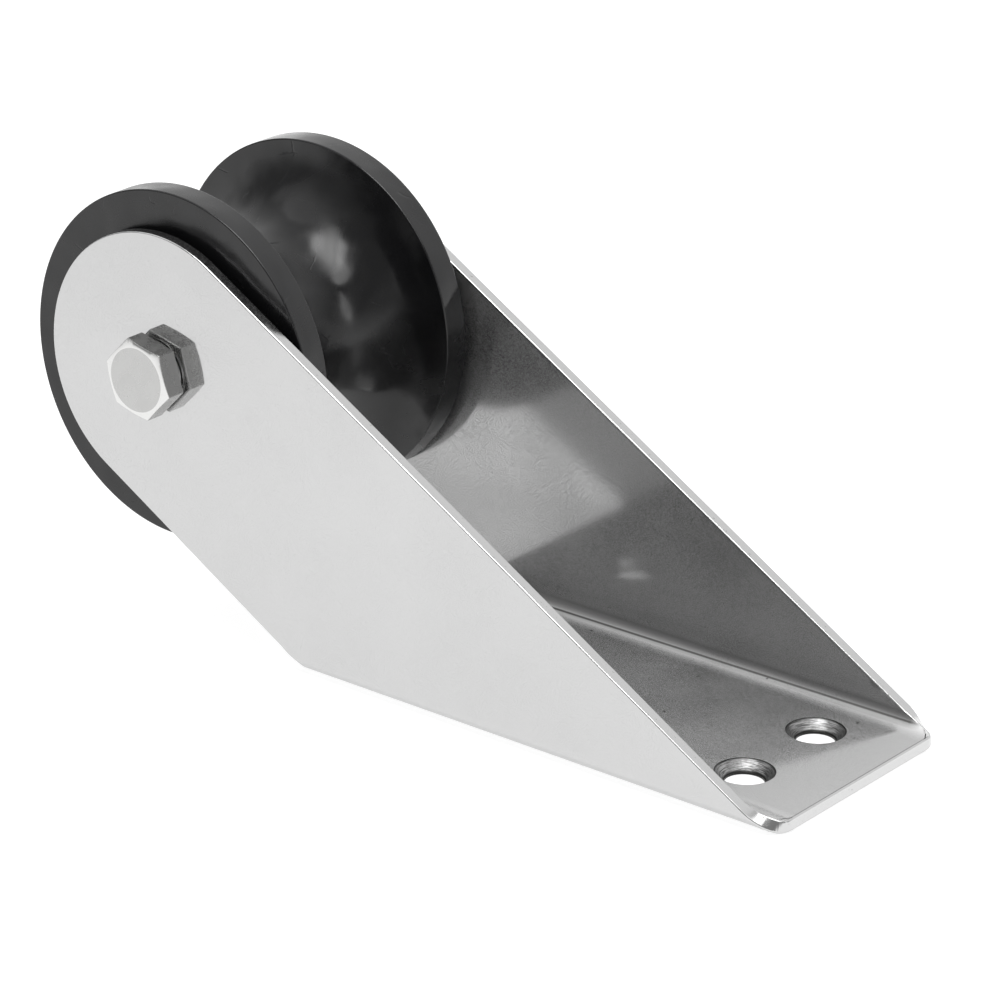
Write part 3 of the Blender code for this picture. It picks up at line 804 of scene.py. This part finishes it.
# %% Scratches on the roller
bent = add(tree, "ShaderNodeTexNoise", {"Vector": place, "Scale": 1 / (4 * mm), "Detail": 2.0})
crooked = add(tree, "ShaderNodeVectorMath", {
    0: bent.outputs["Color"], 1: (1.0 * mm,) * 3, 2: place}, operation="MULTIPLY_ADD")
borders = add(tree, "ShaderNodeTexVoronoi", {"Vector": crooked.outputs[0], "Scale": 1 / (9 * mm)},
              feature="DISTANCE_TO_EDGE")
hair = add(tree, "ShaderNodeMapRange", {
    "Value": borders.outputs["Distance"], "From Min": 0.006, "From Max": 0.02,
    "To Min": 1.0, "To Max": 0.0})
where = add(tree, "ShaderNodeTexNoise", {"Vector": place, "Scale": 1 / (7 * mm), "Detail": 1.0})
short = add(tree, "ShaderNodeMapRange", {
    "Value": where.outputs[0], "From Min": 0.6, "From Max": 0.68})
scratch = add(tree, "ShaderNodeMath", {0: hair.outputs[0], 1: short.outputs[0]},
              operation="MULTIPLY")
scratched = add(tree, "ShaderNodeBump", {
    "Height": scratch.outputs[0], "Distance": 0.04 * mm, "Normal": sunk.outputs[0]}, invert=True)
turned_marks = add(tree, "ShaderNodeBump", {
    "Height": fine.outputs[0], "Distance": 0.004 * mm, "Normal": scratched.outputs[0]})
tree.links.new(turned_marks.outputs[0], shader.inputs["Normal"])
roller.data.materials.append(black)
print("with its scratches it has", len(tree.nodes), "nodes")

# %% [markdown]
# ## Stainless fasteners
# Bolt, nut, washer and sleeve are cold-formed from A2 or A4 stainless and tumbled. That leaves a
# satin skin, greyer than the buffed sheet, with faint knocks of a few tenths of a millimetre.

# %% Material of the fasteners
fastener, tree, shader = new_material("tumbled_stainless", "#B4B4B3", 1.0, 0.25)
place = add(tree, "ShaderNodeTexCoord").outputs["Object"]
knocks = add(tree, "ShaderNodeTexNoise", {"Vector": place, "Scale": 1 / (0.5 * mm), "Detail": 2.0})
cloudy = add(tree, "ShaderNodeTexNoise", {"Vector": place, "Scale": 1 / (4 * mm), "Detail": 2.0})
satin = add(tree, "ShaderNodeMapRange", {
    "Value": cloudy.outputs[0], "From Min": 0.3, "From Max": 0.7, "To Min": 0.2, "To Max": 0.34})
tree.links.new(satin.outputs[0], shader.inputs["Roughness"])
skin = add(tree, "ShaderNodeBump", {"Height": knocks.outputs[0], "Distance": 0.0015 * mm})
tree.links.new(skin.outputs[0], shader.inputs["Normal"])
tumbled = (bolt, nut, flat_washer, sleeve)
for piece in tumbled:
    piece.data.materials.append(fastener)
print(fastener.name, "is on", [piece.name for piece in tumbled])

# %% [markdown]
# The chamfer of the bolt's head is turned last, so it is glossier than the tumbled skin round it,
# with fine rings about the axle, and its colour is painted lighter, as a painted highlight. The
# rings come from a noise that reads only the distance from the axle.

# %% Material of the head's chamfer
# The chamfer's light colour is a painted highlight; its low roughness and rings are the turned
# finish.
painted_bright_chamfer, tree, shader = new_material("turned_stainless_chamfer_painted_bright", "#D2D2D1", 1.0, 0.16)
place = add(tree, "ShaderNodeTexCoord").outputs["Object"]
from_axle = add(tree, "ShaderNodeVectorMath", {0: place, 1: tuple(axle)}, operation="SUBTRACT")
radial = add(tree, "ShaderNodeVectorMath", {0: from_axle.outputs[0], 1: (1, 0, 1)},
             operation="MULTIPLY")
distance = add(tree, "ShaderNodeVectorMath", {0: radial.outputs[0]}, operation="LENGTH")
tool_rings = add(tree, "ShaderNodeTexNoise", {
    "W": distance.outputs["Value"], "Scale": 1 / (0.15 * mm), "Detail": 1.0}, noise_dimensions="1D")
ringed = add(tree, "ShaderNodeBump", {"Height": tool_rings.outputs[0], "Distance": 0.004 * mm})
tree.links.new(ringed.outputs[0], shader.inputs["Normal"])
bolt.data.materials.append(painted_bright_chamfer)
print("bolt materials:", [m.name for m in bolt.data.materials])

# %% [markdown]
# ## Plastic rings
# The bushes and side washers are turned from white acetal rod, which is waxy and lets a little
# light in under its surface. The nut's ring is blue nylon with a matt skin.

# %% Materials of the plastic rings
acetal, tree, shader = new_material("white_turned_acetal", "#E6E4DC", 0.0, 0.42)
shader.inputs["IOR"].default_value = 1.48
place = add(tree, "ShaderNodeTexCoord").outputs["Object"]
lathe_place = add(tree, "ShaderNodeMapping", {
    "Vector": place, "Scale": (1 / (25 * mm), 1 / (0.4 * mm), 1 / (25 * mm))})
lathe_marks = add(tree, "ShaderNodeTexNoise", {
    "Vector": lathe_place.outputs[0], "Scale": 1.0, "Detail": 2.0})
marks = add(tree, "ShaderNodeBump", {"Height": lathe_marks.outputs[0], "Distance": 0.01 * mm})
tree.links.new(marks.outputs[0], shader.inputs["Normal"])
for piece in bushes + side_washers:
    piece.data.materials.append(acetal)

nylon, tree, shader = new_material("blue_nylon", "#3A6FA8", 0.0, 0.5)
shader.inputs["IOR"].default_value = 1.53
place = add(tree, "ShaderNodeTexCoord").outputs["Object"]
grain = add(tree, "ShaderNodeTexNoise", {"Vector": place, "Scale": 1 / (0.6 * mm), "Detail": 2.0})
matt = add(tree, "ShaderNodeBump", {"Height": grain.outputs[0], "Distance": 0.01 * mm})
tree.links.new(matt.outputs[0], shader.inputs["Normal"])
insert_ring.data.materials.append(nylon)
print("plastic rings:", [piece.name for piece in bushes + side_washers + [insert_ring]])

# %% [markdown]
# ## Floor and light
# Polished steel shows whatever stands around it. The product stands on a white light table, whose
# top glows from below, so its reflection in the cheek is even and hardly any shadow lies under the
# base. A white backdrop stands across from the camera and lights the edges, and the room is bright
# again along the skyline. A round softbox hangs overhead and puts the soft spot in the groove. A
# dimmer one beside it draws the white lines on the arms' rounded edges, one beyond the bow lights
# the strips along the folds, and a narrow one behind draws a streak. The rest of the room is dim.

# %% Light table
table = bmesh.new()
bmesh.ops.create_grid(table, x_segments=1, y_segments=1, size=3.0)
bmesh.ops.translate(table, vec=(0, 0, -gap), verts=table.verts)
table_top = as_object("light_table", table)
white, tree, shader = new_material("white_table_top", "#A6A6A6", 0.0, 0.6)
shader.inputs["Emission Color"].default_value = linear("#FFFFFF")
shader.inputs["Emission Strength"].default_value = 0.82
table_top.data.materials.append(white)
print("the table lies", gap / mm, "mm below the base")

# %% Room with a backdrop
world = bpy.data.worlds.new("studio_room")
world.use_nodes = True
bpy.context.scene.world = world
room, tree = world.node_tree.nodes["Background"], world.node_tree
direction = add(tree, "ShaderNodeTexCoord").outputs["Generated"]
around, over_skyline = radians(-75), radians(20)
backdrop = (cos(around) * cos(over_skyline), sin(around) * cos(over_skyline), sin(over_skyline))
facing = add(tree, "ShaderNodeVectorMath", {0: direction, 1: backdrop}, operation="DOT_PRODUCT")
glow = add(tree, "ShaderNodeMapRange", {
    "Value": facing.outputs["Value"], "From Min": cos(radians(90)), "From Max": cos(radians(40)),
    "To Min": 0.3, "To Max": 1.05}, interpolation_type="SMOOTHSTEP")
rise = add(tree, "ShaderNodeSeparateXYZ", {0: direction})
skyline = add(tree, "ShaderNodeMapRange", {
    "Value": rise.outputs[2], "From Min": 0.0, "From Max": 0.2, "To Min": 0.5, "To Max": 0.0},
    interpolation_type="SMOOTHSTEP")
both = add(tree, "ShaderNodeMath", {0: glow.outputs[0], 1: skyline.outputs[0]}, operation="ADD")
tree.links.new(both.outputs[0], room.inputs["Strength"])
room.inputs["Color"].default_value = linear("#FFFFFF")
print("the room's light is worked out by", len(tree.nodes), "nodes")

# %% Softboxes
def softbox(name, place, aim, width, depth, radiance):
    """A soft area light that reflections show and the camera doesn't."""
    lamp = bpy.data.lights.new(name, "AREA")
    lamp.shape, lamp.size, lamp.size_y = "ELLIPSE", width, depth
    lamp.energy = radiance * pi * (pi * width * depth / 4)
    box = bpy.data.objects.new(name, lamp)
    box.location = place
    box.rotation_euler = (Vector(aim) - Vector(place)).to_track_quat("-Z", "Y").to_euler()
    box.visible_camera = False
    bpy.context.scene.collection.objects.link(box)


softbox("overhead_softbox", (0.0, 0.16, 0.64), axle, 0.4, 0.4, 7.0)
softbox("overhead_softbox_rear", (-0.28, 0.17, 0.58), (-0.03, 0.0, 0.02), 0.3, 0.3, 3.0)
softbox("bow_softbox", (0.29, 0.13, 0.33), (0.0, -0.02, 0.0), 0.24, 0.24, 0.75)
softbox("rear_strip", (-0.35, 0.01, 0.22), axle, 0.08, 0.3, 3.0)
print("lights:", [light.name for light in bpy.data.lights])

# %% [markdown]
# ## Camera
# The camera looks from behind on the port side, a little over 22 degrees above the horizon, with a
# long lens about a metre away. Its place came from matching the bracket's edges and the roller's
# circles to the photograph, to within two pixels.

# %% Set the camera
azimuth, elevation, roll = radians(218.230), radians(22.496), radians(0.808)
back = Vector((sin(azimuth) * cos(elevation), -cos(azimuth) * cos(elevation), sin(elevation)))
level = Vector((0, 0, 1)).cross(back).normalized()
above = back.cross(level)
right = level * cos(roll) + above * sin(roll)
up = above * cos(roll) - level * sin(roll)
lens = bpy.data.cameras.new("product_camera")
lens.sensor_width, lens.lens, lens.clip_start = 36.0, 165.64, 0.01
camera = bpy.data.objects.new("product_camera", lens)
turned_to = Matrix((right, up, back)).transposed().to_4x4()
camera.matrix_world = Matrix.Translation((-0.55788, 0.75180, 0.43737)) @ turned_to
bpy.context.scene.collection.objects.link(camera)
scene = bpy.context.scene
scene.camera = camera
scene.view_settings.view_transform = "Standard"
scene.cycles.max_bounces = 20
scene.cycles.glossy_bounces = 16
print("camera is", round((camera.location - axle).length, 3), "m from the axle")
